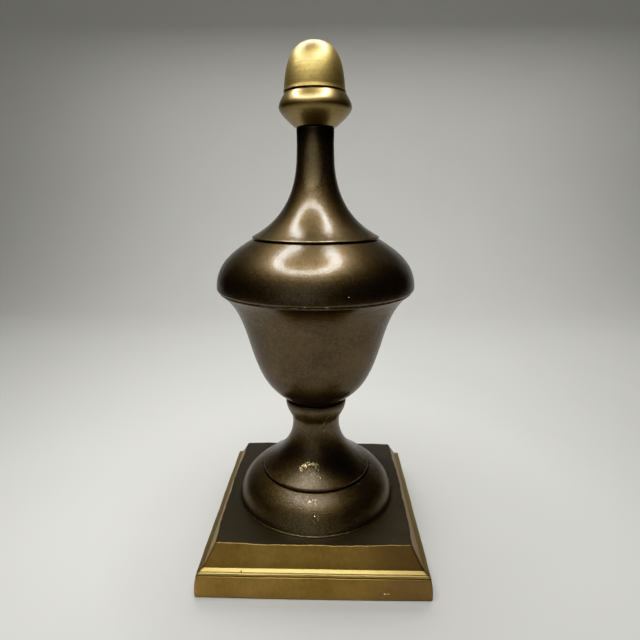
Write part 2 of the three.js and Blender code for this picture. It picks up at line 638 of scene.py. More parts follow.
@dataclass(frozen=True)
class Rub:
    """A place where the patina is rubbed through, in millimetres.

    Attributes:
        centre: Its middle.
        size: Half its size along each axis.
        ragged: How much its edge is broken up.
        thin: How thinly it is rubbed, from 0 with a bare middle to about 1 with specks alone.
        share: How much of the patina is gone there.
    """

    centre: Point
    size: Point
    ragged: float = 0.8
    thin: float = 0.0
    share: float = 1.0

    def mask(self, graph: Graph, effects: Effects, place: Socket) -> Socket:
        """Returns the socket of the rubbed place's mask."""
        spot = graph.use(
            effects.rub,
            Vector=place,
            Centre_mm=self.centre,
            Size_mm=self.size,
            Ragged=self.ragged,
            Thin=self.thin,
        )
        return graph.math("MULTIPLY", spot.outputs[0], self.share)


@dataclass(frozen=True)
class Scratch:
    """A scratch from one point to another, in millimetres, with the share of patina gone in it."""

    start: Point
    end: Point
    width: float = 0.2
    share: float = 1.0

    def mask(self, graph: Graph, effects: Effects, place: Socket) -> Socket:
        """Returns the socket of the scratch's mask."""
        line = graph.use(
            effects.scratch, Vector=place, Start_mm=self.start, End_mm=self.end, Width_mm=self.width
        )
        return graph.math("MULTIPLY", line.outputs[0], self.share)


Mark = Union[Rub, Scratch]


def all_marks(graph: Graph, effects: Effects, place: Socket, marks: Sequence[Mark]) -> Socket:
    """Joins all rubbed places and scratches of a piece into one mask.

    Args:
        graph: The material's graph.
        effects: The shared groups.
        place: Object coordinates.
        marks: The rubbed places and scratches.

    Returns:
        Socket of the mask, 1 where the surface is bare.
    """
    whole: Input = 0.0
    for mark in marks:
        whole = graph.math("MAXIMUM", whole, mark.mask(graph, effects, place))
    return whole


def start_material(name: str) -> tuple[bpy.types.Material, Graph, bpy.types.Node, Socket]:
    """Starts a material with its shader.

    Args:
        name: Name of the material.

    Returns:
        The material, its graph, its Principled shader and the socket of Object coordinates.
    """
    material = bpy.data.materials.new(name)
    material.use_nodes = True
    graph = Graph(material.node_tree)
    shader = material.node_tree.nodes["Principled BSDF"]
    place = graph.add("ShaderNodeTexCoord").outputs["Object"]
    return material, graph, shader, place


def mask_of(graph: Graph, title: str) -> Socket:
    """Returns the socket of a mask that the mesh carries."""
    return graph.add("ShaderNodeAttribute", attribute_name=title).outputs["Fac"]


def bump(graph: Graph, height: Socket, depth: float) -> Socket:
    """Turns a height into a normal.

    Args:
        graph: The material's graph.
        height: Socket of the height, from 0 to 1.
        depth: Depth that 1 stands for, in metres.

    Returns:
        Socket of the normal.
    """
    node = graph.add("ShaderNodeBump")
    node.inputs["Strength"].default_value = 1.0
    node.inputs["Distance"].default_value = depth
    graph.feed(node.inputs["Height"], height)
    return node.outputs[0]


def tipped(graph: Graph, normal: Socket, marks: Socket, tip: tuple[float, float]) -> Socket:
    """Tips a normal where the metal is dented.

    Args:
        graph: The material's graph.
        normal: Socket of the normal.
        marks: Socket of the mask of the dented places.
        tip: How far the normal moves along Y and Z where the mask is 1.

    Returns:
        Socket of the new normal.
    """
    back, up = (graph.math("MULTIPLY", marks, share) for share in tip)
    return graph.vector("NORMALIZE", graph.vector("ADD", normal, graph.joined(0.0, back, up)))


@dataclass(frozen=True)
class Bronze:
    """Dark bronze lacquer: brown metallic flake under a thin satin coat, rubbed and partly painted as a
    highlight at its edges, with painted shade under a seam.

    Attributes:
        body: Colour of the lacquer.
        shade: Its darker mottling.
        fleck: Colour of its bright flakes.
        bare: Colour of the brass where the lacquer is rubbed through.
        seam_shade: Colour of the painted shade under the seam above.
        edge_tint: Tint of the lacquer at a grazing angle.
        roughness: Roughness of the lacquer.
        mottling: How strongly the grain mottles the colour.
        fleck_share: Strength of the flakes.
        wear: How far the lighter edges reach: rubbed-through wear, and partly a painted highlight.
        wear_and_highlight_share: Strength of those lighter edges, wear and partly a painted highlight.
        coat: Weight of the clear coat.
        glint: How strongly the grain breaks up the coat.
        coat_roughness: Roughness of the coat.
        grain_depth: Depth of the grain, in metres.
        mark_tip: How far a mark tips the normal along Y and Z.
        seam_shade_heights: Heights in metres between which painted shade thickens towards the seam above.
        seam_shade_share: Strength of that painted shade at the seam.
    """

    body: Colour = (0.104, 0.072, 0.035)
    shade: Colour = (0.058, 0.039, 0.016)
    fleck: Colour = (0.30, 0.22, 0.12)
    bare: Colour = (0.85, 0.70, 0.36)
    seam_shade: Colour = (0.020, 0.014, 0.008)
    edge_tint: Colour = (0.33, 0.305, 0.25)
    roughness: float = 0.42
    mottling: float = 2.4
    fleck_share: float = 0.25
    wear: float = 0.1
    wear_and_highlight_share: float = 0.28
    coat: float = 0.63
    glint: float = 2.6
    coat_roughness: float = 0.175
    grain_depth: float = 0.000056
    mark_tip: tuple[float, float] = (-0.1, 0.48)
    seam_shade_heights: tuple[float, float] = (1.0, 2.0)
    seam_shade_share: float = 0.65

    def material(self, name: str, effects: Effects, marks: Sequence[Mark] = ()) -> bpy.types.Material:
        """Makes the finish for one piece.

        Args:
            name: Name of the material.
            effects: The shared groups.
            marks: Rubbed places and scratches of the piece.

        Returns:
            The material.
        """
        material, graph, shader, place = start_material(name)
        cloud = graph.use(effects.clouding, Vector=place, Scale=55.0, Contrast=1.3).outputs[0]
        flake = graph.use(effects.flake, Vector=place, Size_mm=0.45, Share=0.12)
        lines = graph.use(effects.turning, Vector=place, Pitch_mm=1.1, Drift=0.3).outputs[0]
        edge = graph.use(
            effects.edge_wear, Vector=place, Edge=mask_of(graph, "arris"), Scale=260.0, Reach=self.wear
        ).outputs[0]
        pebble = graph.noise(place, 1500.0, 2.0, 0.6)
        marked = all_marks(graph, effects, place, marks)
        # Lighter edges: rubbed-through wear, and partly a painted highlight along the arrises.
        bare = graph.math("MAXIMUM", marked, graph.math("MULTIPLY", edge, self.wear_and_highlight_share))
        height = graph.parts(place)[2]
        # Painted shade: the colour darkens towards the seam above, standing in for the shadow of the piece
        # over it.
        seam_shaded = graph.math("MULTIPLY", graph.span(height, *self.seam_shade_heights), self.seam_shade_share)

        centred = graph.math("SUBTRACT", cloud, 0.5 * self.mottling)
        mottled = graph.math("MULTIPLY_ADD", pebble, self.mottling, centred, clamp=True)
        patina = graph.blend(mottled, self.shade, self.body)
        flakes = graph.math("MULTIPLY", flake.outputs["Fleck"], self.fleck_share)
        rubbed = graph.blend(bare, graph.blend(flakes, patina, self.fleck), self.bare)
        graph.feed(shader.inputs["Base Color"], graph.blend(seam_shaded, rubbed, self.seam_shade))
        shader.inputs["Metallic"].default_value = 1.0
        shader.inputs["Specular Tint"].default_value = (*self.edge_tint, 1.0)

        uneven = graph.math("MULTIPLY_ADD", cloud, -0.05, self.roughness + 0.025)
        pebbled = graph.math("SUBTRACT", flake.outputs["Height"], 0.5)
        grainy = graph.math("MULTIPLY_ADD", pebbled, 0.3, uneven)
        graph.feed(shader.inputs["Roughness"], graph.math("MULTIPLY_ADD", bare, -0.18, grainy, clamp=True))

        # The coat is left off the painted shade at the seam, the bare places and the flecks.
        dull = graph.math("MAXIMUM", seam_shaded, graph.math("MAXIMUM", bare, flake.outputs["Fleck"]))
        covered = graph.math("SUBTRACT", 1.0, dull)
        least = self.coat * (1.0 - 0.5 * self.glint)
        glinting = graph.math("MULTIPLY_ADD", pebble, self.coat * self.glint, least)
        graph.feed(shader.inputs["Coat Weight"], graph.math("MULTIPLY", covered, glinting, clamp=True))
        shader.inputs["Coat Roughness"].default_value = self.coat_roughness
        shader.inputs["Coat IOR"].default_value = 1.5

        dents = graph.math("MULTIPLY_ADD", graph.noise(place, 1100.0, 2.0), 5.0, -3.0)
        grained = graph.math("MULTIPLY_ADD", lines, 0.7, flake.outputs["Height"])
        normal = bump(graph, graph.math("MULTIPLY_ADD", bare, dents, grained), self.grain_depth)
        graph.feed(shader.inputs["Normal"], tipped(graph, normal, marked, self.mark_tip))
        graph.feed(shader.inputs["Coat Normal"], bump(graph, pebble, self.grain_depth))
        return material


@dataclass(frozen=True)
class KnobBrass:
    """Lacquered turned brass of the acorn and its cup, with lathe marks and painted shade in its hollows.

    Attributes:
        body: Colour of the brass.
        shade: Colour of its tarnish, also used as painted shade in its hollows.
        roughness: Roughness of the brass.
        streaks: How strongly the lathe marks show in the tarnish.
        blotches: How strongly clouds show in the tarnish.
        spot_share: Strength of the small dark spots.
        coat: Weight of the clear coat.
        coat_roughness: Roughness of the coat.
        mark_depth: Depth of the lathe marks, in metres.
    """

    body: Colour = (0.325, 0.236, 0.078)
    shade: Colour = (0.165, 0.113, 0.036)
    roughness: float = 0.43
    streaks: float = 0.8
    blotches: float = 0.85
    spot_share: float = 0.6
    coat: float = 0.08
    coat_roughness: float = 0.10
    mark_depth: float = 0.00006

    def material(self, name: str, effects: Effects) -> bpy.types.Material:
        """Makes the finish for one piece.

        Args:
            name: Name of the material.
            effects: The shared groups.

        Returns:
            The material.
        """
        material, graph, shader, place = start_material(name)
        cloud = graph.use(effects.clouding, Vector=place, Scale=110.0, Contrast=1.2).outputs[0]
        lines = graph.use(effects.turning, Vector=place, Pitch_mm=0.55, Drift=0.4).outputs[0]
        blotchy = graph.math("MULTIPLY_ADD", cloud, self.blotches, -0.5)
        streaked = graph.math("MULTIPLY_ADD", lines, self.streaks, blotchy, clamp=True)
        specks = graph.span(graph.noise(place, 620.0, 1.0), 0.71, 0.77)
        spots = graph.math("MULTIPLY", specks, self.spot_share)
        # Real dark specks, and painted shade in the hollows of the profile such as the acorn's quirk, both
        # take the tarnish colour.
        hollow_shaded = graph.math("MAXIMUM", spots, mask_of(graph, "hollow"))
        tarnish = graph.math("MAXIMUM", streaked, hollow_shaded)
        graph.feed(shader.inputs["Base Color"], graph.blend(tarnish, self.body, self.shade))
        shader.inputs["Metallic"].default_value = 1.0

        rough = graph.math("MULTIPLY_ADD", graph.math("SUBTRACT", lines, 0.5), 0.18, self.roughness)
        graph.feed(shader.inputs["Roughness"], graph.math("MULTIPLY_ADD", cloud, 0.05, rough, clamp=True))
        shader.inputs["Coat Weight"].default_value = self.coat
        shader.inputs["Coat Roughness"].default_value = self.coat_roughness
        graph.feed(shader.inputs["Normal"], bump(graph, lines, self.mark_depth))
        return material


@dataclass(frozen=True)
class BaseBrass:
    """Satin brass of the base with upright filing grain, painted shade in its hollows, and a dark patina on
    its top plate.

    Attributes:
        body: Colour of the brass.
        shade: Colour of its tarnish.
        bright: Colour of the worn bead and the nicks.
        quirk: Colour of the painted shade in the mouldings' hollows.
        pit: Colour of a dark speck.
        brown: Colour that the sides turn to towards +X.
        browning: From where to where along X the sides turn darker and browner, in metres.
        browning_share: How far they turn.
        roughness: Roughness of the brass.
        wear: How far wear reaches on the rubbed mask.
        plate: Colour of the top plate.
        plate_light: Its lighter clouds.
        plate_fleck: Its flakes.
        fading: From where to where the plate lightens along X, in metres.
        plate_roughness: Roughness of the plate.
        plate_coat: Weight of its clear coat.
        coat_roughness: Roughness of that coat.
        grain_depth: Depth of the filing grain, in metres.
        nick_tip: How far a nick tips the normal along Y and Z.
    """

    body: Colour = (0.43, 0.275, 0.082)
    shade: Colour = (0.26, 0.16, 0.040)
    bright: Colour = (0.39, 0.285, 0.100)
    quirk: Colour = (0.12, 0.072, 0.012)
    pit: Colour = (0.03, 0.02, 0.008)
    brown: Colour = (0.21, 0.125, 0.055)
    browning: tuple[float, float] = (0.012, 0.040)
    browning_share: float = 0.66
    roughness: float = 0.48
    wear: float = 0.38
    plate: Colour = (0.074, 0.059, 0.033)
    plate_light: Colour = (0.112, 0.086, 0.050)
    plate_fleck: Colour = (0.14, 0.10, 0.06)
    fading: tuple[float, float] = (-0.02, 0.045)
    plate_roughness: float = 0.52
    plate_coat: float = 0.5
    coat_roughness: float = 0.26
    grain_depth: float = 0.000025
    nick_tip: tuple[float, float] = (0.45, 0.8)

    def material(
        self, name: str, effects: Effects, nicks: Sequence[Mark] = (), pits: Sequence[Mark] = ()
    ) -> bpy.types.Material:
        """Makes the finish.

        Args:
            name: Name of the material.
            effects: The shared groups.
            nicks: Bright rubbed places.
            pits: Dark specks.

        Returns:
            The material.
        """
        material, graph, shader, place = start_material(name)
        cloud = graph.use(effects.clouding, Vector=place, Scale=70.0, Contrast=1.3).outputs[0]
        flake = graph.use(effects.flake, Vector=place, Size_mm=0.5, Share=0.08)
        drawn = graph.add("ShaderNodeMapping")
        graph.feed(drawn.inputs["Vector"], place)
        drawn.inputs["Scale"].default_value = (1.0, 1.0, 0.08)
        filing = graph.noise(drawn.outputs[0], 1300.0, 3.0, 0.65)
        across = graph.parts(place)[0]
        top = mask_of(graph, "plate")
        nicked = all_marks(graph, effects, place, nicks)
        worn = graph.use(
            effects.edge_wear, Vector=place, Edge=mask_of(graph, "rubbed"), Scale=420.0, Reach=self.wear
        ).outputs[0]
        bright = graph.math("MAXIMUM", worn, nicked)

        clouded = graph.math("MULTIPLY", cloud, 0.75)
        tarnish = graph.math("MULTIPLY_ADD", filing, 0.3, clouded, clamp=True)
        # Towards +X the sides turn darker and browner.
        browned = graph.math("MULTIPLY", graph.span(across, *self.browning), self.browning_share)
        sides = graph.blend(browned, graph.blend(tarnish, self.body, self.shade), self.brown)
        lighter = graph.math("ADD", cloud, 0.4)
        faded = graph.math("MULTIPLY", graph.span(across, *self.fading), lighter, clamp=True)
        flakes = graph.math("MULTIPLY", flake.outputs["Fleck"], 0.3)
        flat = graph.blend(flakes, graph.blend(faded, self.plate, self.plate_light), self.plate_fleck)
        polished = graph.blend(bright, graph.blend(top, sides, flat), self.bright)
        # Painted shade in the mouldings' hollows, such as the quirk under the bead.
        hollow_shaded = graph.blend(mask_of(graph, "hollow"), polished, self.quirk)
        pitted = graph.blend(all_marks(graph, effects, place, pits), hollow_shaded, self.pit)
        graph.feed(shader.inputs["Base Color"], pitted)
        shader.inputs["Metallic"].default_value = 1.0

        grain = graph.math("MULTIPLY_ADD", graph.math("SUBTRACT", filing, 0.5), 0.2, self.roughness)
        rough = graph.math("MULTIPLY_ADD", top, self.plate_roughness - self.roughness, grain)
        graph.feed(shader.inputs["Roughness"], graph.math("MULTIPLY_ADD", bright, -0.08, rough, clamp=True))
        graph.feed(shader.inputs["Coat Weight"], graph.math("MULTIPLY", top, self.plate_coat))
        shader.inputs["Coat Roughness"].default_value = self.coat_roughness
        half = graph.math("MULTIPLY", filing, 0.5)
        relief = graph.math("MULTIPLY_ADD", flake.outputs["Height"], 0.5, half)
        filed = bump(graph, relief, self.grain_depth)
        graph.feed(shader.inputs["Normal"], tipped(graph, filed, nicked, self.nick_tip))
        return material


# The finial's pieces


class Slot(Enum):
    """Names of the material slots."""

    BASE = "base_brass"
    BRONZE = "dark_bronze"
    KNOB = "knob_brass"


def show(
    name: str, surface: Surface, material: bpy.types.Material, node: str
) -> bpy.types.Object:
    """Puts a finished piece into the scene in place of its CAD node.

    Args:
        name: Name of the piece.
        surface: Its skin.
        material: Its finish.
        node: The CAD node that it stands for.

    Returns:
        The piece.
    """
    mesh = surface.mesh(name)
    mesh.materials.append(material)
    piece = bpy.data.objects.new(name, mesh)
    bpy.context.scene.collection.objects.link(piece)
    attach(piece, "root")
    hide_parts(node)
    mesh.calc_loop_triangles()
    LOG.info("%s: %d triangles, for %s", name, len(mesh.loop_triangles), node)
    return piece


@dataclass
class SquareBase:
    """Moulded square base: leaning fascia, double bead, shallow cove and a flat plate.

    The named points of the bead are pairs of half-width and height.

    Attributes:
        foot_half_width: Half-width just above the foot's eased edge.
        foot_ease: How far that edge is eased.
        fascia_top: Top of the fascia.
        bead_quirk: Bottom of the quirk below the bead.
        bead_roll: Outermost point of the bead.
        bead_valley: Valley in the middle of the bead.
        ledge: Outer end of the ledge above the valley.
        cove_foot: Where the cove leaves the ledge.
        plate_half_width: Half-width of the plate at the middle of a side.
        plate_ease: How far the plate's edge is eased.
        top: Height of the plate.
        corner: Radius of the upright corners.
        plate_bow: How far a side of the plate bows out.
        plate_bow_heights: Heights between which that bow fades in.
        foot_bow: How far a side of the foot bows out.
        foot_bow_height: Height where that bow has faded out.
        flat_half_widths: Half-widths between which bow and waviness fade in on the flats.
        filing: Waviness of a plain side, of a sharp edge and of the plate's edge.
        filed_rim: How far below the top the plate's edge begins.
        rubbed_from: Height above which edges are rubbed.
        bead_heights: Heights between which the whole bead is rubbed.
        bead_half_width: Half-width outside which the bead lies.
    """

    foot_half_width: float = 50.75
    foot_ease: float = 0.35
    fascia_top: tuple[float, float] = (49.5, 9.3)
    bead_quirk: tuple[float, float] = (48.85, 9.75)
    bead_roll: tuple[float, float] = (49.2, 10.4)
    bead_valley: tuple[float, float] = (48.45, 10.95)
    ledge: tuple[float, float] = (47.9, 11.4)
    cove_foot: tuple[float, float] = (46.9, 11.9)
    plate_half_width: float = 43.4
    plate_ease: float = 0.75
    top: float = 20.5
    corner: float = 0.95
    plate_bow: float = 0.95
    plate_bow_heights: tuple[float, float] = (13.0, 20.0)
    foot_bow: float = 0.4
    foot_bow_height: float = 6.0
    flat_half_widths: tuple[float, float] = (20.0, 38.0)
    filing: tuple[float, float, float] = (0.03, 0.05, 0.11)
    filed_rim: float = 1.5
    rubbed_from: float = 10.0
    bead_heights: tuple[float, float] = (10.05, 12.0)
    bead_half_width: float = 46.0

    def profile(self) -> Profile:
        """Draws the half section from the underside's middle to the plate's middle.

        Returns:
            The finished profile, whose radius is the half-width.
        """
        foot = Way(self.foot_half_width, self.foot_ease, 93.0)
        edge = Way(self.plate_half_width, self.top - self.plate_ease, 113.0, 0.5)
        plate = Way(self.plate_half_width - self.plate_ease, self.top, 180.0, 0.5)
        return eased(
            [
                straight((0.0, 0.0), (self.foot_half_width - self.foot_ease, 0.0)),
                sweep(foot, Way(*self.fascia_top, 101.0)),
                sweep(Way(*self.fascia_top, 120.0), Way(*self.bead_quirk, 95.0), 20),
                sweep(Way(*self.bead_quirk, 30.0, 0.5), Way(*self.bead_roll, 92.0, 0.5), 30),
                sweep(Way(*self.bead_roll, 92.0, 0.5), Way(*self.bead_valley, 185.0, 0.4), 40),
                sweep(Way(*self.bead_valley, 80.0, 0.4), Way(*self.ledge, 152.0, 0.3), 30),
                sweep(Way(*self.ledge, 152.0, 0.3), Way(*self.cove_foot, 168.0, 0.3), 20),
                sweep(Way(*self.cove_foot, 132.0, 0.25), edge),
                sweep(edge, plate, 30),
                straight(plate.at, (0.0, self.top)),
            ],
            soften=0.12,
            spacing=0.8,
            turn=9.0,
        )

    def surface(self) -> Surface:
        """Carries the half section round the square, and adds the masks of the finish.

        Formula: the bow fades in with a smooth step over the cove, and the waviness grows with
        the sharpness of an edge. The plate mask is 1 on the flat top inside its edge. The rubbed
        mask is the edge mask above the quirk, with the whole bead added.

        Returns:
            The closed surface.
        """
        profile = self.profile()
        half, height = profile.points[:, 0], profile.points[:, 1]
        rise = ramp(height, *self.plate_bow_heights)
        fall = 1.0 - ramp(height, 0.0, self.foot_bow_height)
        inside = ramp(half, *self.flat_half_widths)
        bow = (self.plate_bow * rise**2 * (3 - 2 * rise) + self.foot_bow * fall) * inside
        plain, sharp, rim = self.filing
        filed = plain + sharp * profile.arris + rim * (height > self.top - self.filed_rim)
        surface = moulded(profile, self.corner, bow, filed * (height > 1.0) * inside, 96, 10)
        plate = (height > self.top - 0.06) * 1.0
        low, high = self.bead_heights
        bead = ((height > low) & (height < high) & (half > self.bead_half_width)) * 1.0
        edges = profile.arris * (height > self.rubbed_from)
        rubbed = np.maximum(edges, bead) - plate * 0.3
        surface.masks["plate"] = plate
        surface.masks["rubbed"] = np.clip(rubbed, 0.0, 1.0)
        return surface

    def build(self, effects: Effects) -> None:
        """Makes the base and dresses it with its nicks and the dark pit on its bead.

        Args:
            effects: The shared groups.
        """
        nicks = [
            Rub((30.1, -50.5, 3.4), (0.6, 1.2, 0.45), 0.3),
            Rub((31.5, -50.5, 3.4), (0.6, 1.2, 0.42), 0.2),
            Rub((27.6, -50.5, 3.2), (1.6, 1.2, 0.45), 0.5, 0.0, 0.4),
        ]
        pits = [Rub((-30.2, -48.1, 11.4), (0.35, 0.8, 0.3), 0.2)]
        material = BaseBrass().material("satin base brass", effects, nicks, pits)
        show("moulded_base", self.surface(), material, "square_base")


@dataclass
class Pedestal:
    """Round cushion foot, sharp step, flare to the waist, and the collar under the bowl."""

    bottom: float = 20.56
    foot_lip: tuple[float, float] = (38.6, 20.85)
    foot: Way = Way(38.15, 21.1, 106.0, 0.41)
    cushion_top: Way = Way(27.0, 34.15, 152.5, 0.42)
    groove: Way = Way(25.9, 33.7, 262.0, 0.3)
    step_edge: Way = Way(26.25, 35.35, 90.0, 0.5)
    step: Way = Way(25.4, 36.3, 149.0, 0.32)
    waist: Way = Way(11.3, 57.5, 90.0, 0.37)
    collar_neck: tuple[float, float] = (11.75, 61.1)
    collar: Way = Way(14.5, 68.8, 90.0, 0.4)
    collar_top: Way = Way(14.0, 70.4, 172.0, 0.4)

    def surface(self) -> Surface:
        """Turns the pedestal's half section.

        Returns:
            The closed surface.
        """
        neck, waist = self.collar_neck, self.waist
        profile = eased(
            [
                straight((0.0, self.bottom), (self.foot_lip[0], self.bottom), self.foot_lip),
                sweep(self.foot, self.cushion_top),
                sweep(self.cushion_top.pulled(0.5), self.groove, 20),
                straight(self.groove.at, self.step_edge.at),
                sweep(self.step_edge, self.step.pulled(0.5), 20),
                sweep(self.step, waist),
                sweep(waist.pulled(0.4), Way(*neck, 73.0, 0.3), 40),
                sweep(Way(*neck, 66.0, 0.28), self.collar),
                sweep(self.collar, self.collar_top, 60),
                straight((0.0, self.collar_top.height)),
            ],
            soften=0.16,
        )
        return turned(profile, TURNED_SIDES)

    def build(self, effects: Effects) -> None:
        """Makes the pedestal and dresses it with its rubbed places and scratches.

        Args:
            effects: The shared groups.
        """
        rubs = [
            Rub((-6.4, -17.6, 41.0), (0.9, 1.6, 1.4), 0.6, 0.62),
            Rub((-4.6, -16.9, 42.3), (1.4, 1.6, 0.8), 0.8, 0.72),
            Rub((-2.9, -16.6, 43.1), (1.3, 1.6, 0.8), 0.7, 0.66),
            Rub((-1.1, -16.6, 43.1), (1.0, 1.6, 0.7), 0.8, 0.76, 0.8),
            Rub((0.8, -17.5, 42.0), (1.0, 1.6, 1.5), 0.9, 0.76, 0.9),
            Rub((1.5, -18.4, 41.1), (0.5, 1.4, 0.5), 0.6, 0.66),
            Rub((2.6, -20.9, 38.7), (0.45, 1.2, 0.4), 0.5, 0.6),
            # A broad faint rub round the arcs: wear, and partly a painted highlight that lightens the flare
            # below them.
            Rub((-2.0, -20.0, 39.9), (3.6, 3.2, 2.2), 0.9, 1.0, 0.14),
            Rub((-2.1, -30.2, 32.6), (0.4, 1.0, 0.5), 0.5, 0.6),
            Rub((-0.6, -30.3, 32.5), (2.0, 1.8, 1.0), 0.9, 1.15, 0.3),
            Rub((0.3, -34.5, 28.5), (0.35, 1.0, 0.35), 0.5, 0.7),
            Rub((0.7, -35.1, 27.8), (1.2, 1.4, 1.4), 0.9, 1.25, 0.4),
            Rub((4.5, -10.4, 56.6), (0.6, 0.8, 0.7), 0.9, 1.05, 0.2),
        ]
        cuts = [
            Scratch((6.3, -12.4, 65.4), (1.9, -11.2, 58.4), 0.07, 0.45),
            Scratch((4.7, -11.2, 61.8), (3.5, -11.0, 59.9), 0.08, 0.7),
            Scratch((19.6, -18.8, 34.1), (23.0, -17.6, 33.4), 0.08, 0.25),
        ]
        # Painted shade darkens the collar's top under the bowl, and the wider edge wear is partly a painted
        # highlight along the step's edge.
        finish = Bronze(
            body=(0.158, 0.109, 0.048),
            shade=(0.080, 0.053, 0.020),
            roughness=0.46,
            coat=0.70,
            coat_roughness=0.22,
            wear=0.24,
            seam_shade_heights=(0.0672, 0.0697),
            grain_depth=0.000128,
        )
        material = finish.material("bronze pedestal", effects, [*rubs, *cuts])
        show("pedestal_turning", self.surface(), material, "pedestal")


@dataclass
class Bowl:
    """Body of the urn: a hip over the seat, opening like a bell to the rim under the lid."""

    seat: Way = Way(13.9, 70.46, 38.5, 0.43)
    hip: Way = Way(27.5, 88.5, 69.5, 0.42)
    rim: Way = Way(43.2, 123.06, 36.0, 0.33)
    top: float = 123.85

    def surface(self) -> Surface:
        """Turns the bowl's half section.

        Returns:
            The closed surface.
        """
        profile = eased(
            [
                straight((0.0, self.seat.height), self.seat.at),
                sweep(self.seat, self.hip),
                sweep(self.hip.pulled(0.35), self.rim),
                straight((self.rim.radius, self.top), (0.0, self.top)),
            ],
            soften=0.15,
        )
        return turned(profile, TURNED_SIDES)

    def build(self, effects: Effects) -> None:
        """Makes the bowl and dresses it.

        Args:
            effects: The shared groups.
        """
        finish = Bronze(body=(0.116, 0.077, 0.033), shade=(0.072, 0.046, 0.017), coat=0.56)
        material = finish.material("bronze bowl", effects)
        show("urn_bowl", self.surface(), material, "bowl")


@dataclass
class Lid:
    """Fat cushion rim, turned groove, overhanging skirt, and the neck rising out of it."""

    bottom: float = 123.9
    radius: float = 44.3
    round: float = 1.1
    crest: Way = Way(28.4, 145.6, 149.0, 0.38)
    groove: tuple[float, float] = (26.9, 145.9)
    skirt_edge: Way = Way(28.1, 146.4, 80.0, 0.5)
    skirt: Way = Way(27.4, 147.25, 152.0, 0.41)
    neck: Way = Way(8.1, 180.2, 91.5, 0.355)
    slim: tuple[float, float] = (7.9, 185.5)
    neck_top: tuple[float, float] = (8.0, 191.55)

    def surface(self) -> Surface:
        """Turns the lid's half section.

        Returns:
            The closed surface.
        """
        edge = Way(self.radius, self.bottom + self.round, 90.0, 0.39)
        profile = eased(
            [
                straight((0.0, self.bottom), (self.radius - self.round, self.bottom)),
                sweep(Way(self.radius - self.round, self.bottom, 0.0, 0.39), edge, 40),
                sweep(edge, self.crest),
                straight(self.groove, (self.groove[0], self.skirt_edge.height - 0.1)),
                sweep(self.skirt_edge, self.skirt.pulled(0.5), 20),
                sweep(self.skirt, self.neck),
                straight(self.slim, self.neck_top, (0.0, self.neck_top[1])),
            ],
            soften=0.15,
        )
        return turned(profile, TURNED_SIDES)

    def build(self, effects: Effects) -> None:
        """Makes the lid and dresses it with the nicks along its rim, and a painted sheen on the front of
        its neck.

        Args:
            effects: The shared groups.
        """
        rubs = [
            # A broad faint lightening on the neck's front: a painted reflection, not wear.
            Rub((-1.2, -8.4, 177.0), (4.5, 4.0, 13.0), 0.15, 0.0, 0.07),
            Rub((13.4, -41.9, 127.9), (0.3, 0.8, 0.25), 0.2, 0.0, 0.7),
            Rub((5.4, -43.6, 124.2), (0.7, 1.0, 0.3), 0.3, 0.0, 0.5),
            Rub((-2.8, -43.9, 124.4), (0.4, 0.9, 0.3), 0.3, 0.0, 0.4),
        ]
        # Painted shade darkens the top of the neck under the cup, and the wider edge wear is partly a
        # painted highlight along the rim and the skirt's edge.
        finish = Bronze(coat=0.68, wear=0.24, seam_shade_heights=(0.177, 0.192))
        material = finish.material("bronze lid", effects, rubs)
        show("lid_turning", self.surface(), material, "lid")


@dataclass
class Knob:
    """Turned brass knob: a cup that rolls over at its widest, and the acorn standing in it."""

    cup_seat: Way = Way(8.6, 191.85, 40.0, 0.36)
    cup_widest: Way = Way(15.3, 199.45, 90.0, 0.2)
    cup_shoulder: Way = Way(12.95, 204.7, 116.0, 0.23)
    cup_rim: float = 0.5
    cup_rebate: tuple[float, float] = (0.7, 0.3)
    acorn_bottom: float = 205.0
    acorn_quirk: tuple[float, float] = (11.8, 205.3)
    acorn_foot: Way = Way(13.0, 205.45, 110.0, 0.4)
    acorn_wall: Way = Way(12.65, 206.75, 93.5, 0.52)
    acorn_apex: Way = Way(0.0, 224.5, 180.0, 0.405)
    acorn_axis: float = -0.3

    def cup(self) -> Surface:
        """Turns the cup's half section, whose rim is flat and then steps down inside.

        Returns:
            The closed surface.
        """
        seat, wide, top = self.cup_seat, self.cup_widest, self.cup_shoulder
        inner, floor = top.radius - self.cup_rebate[0], top.height - self.cup_rebate[1]
        profile = eased(
            [
                straight((0.0, seat.height), seat.at),
                sweep(seat, wide),
                sweep(wide.pulled(0.33), top),
                straight((top.radius - self.cup_rim, top.height), (inner, floor), (0.0, floor)),
            ],
            soften=0.12,
            spacing=0.5,
        )
        return turned(profile, KNOB_SIDES)

    def acorn(self) -> Surface:
        """Turns the acorn's half section about its own axis.

        Returns:
            The closed surface.
        """
        quirk, foot, wall = self.acorn_quirk, self.acorn_foot, self.acorn_wall
        profile = eased(
            [
                straight((0.0, self.acorn_bottom), (quirk[0], self.acorn_bottom), quirk),
                sweep(foot, Way(*wall.at, 105.0, 0.4), 30),
                sweep(wall, self.acorn_apex),
            ],
            soften=0.12,
            spacing=0.5,
        )
        return turned(profile, KNOB_SIDES, self.acorn_axis)

    def build(self, effects: Effects) -> None:
        """Makes the cup and the acorn and dresses them.

        Args:
            effects: The shared groups.
        """
        cup = KnobBrass(
            body=(0.27, 0.195, 0.074),
            shade=(0.17, 0.115, 0.040),
            roughness=0.31,
            coat=0.28,
            mark_depth=0.00003,
        )
        material = cup.material("turned brass cup", effects)
        show("knob_cup", self.cup(), material, "acorn_cup")
        material = KnobBrass().material("turned brass acorn", effects)
        show("knob_acorn", self.acorn(), material, "acorn")


# Stage, light and camera


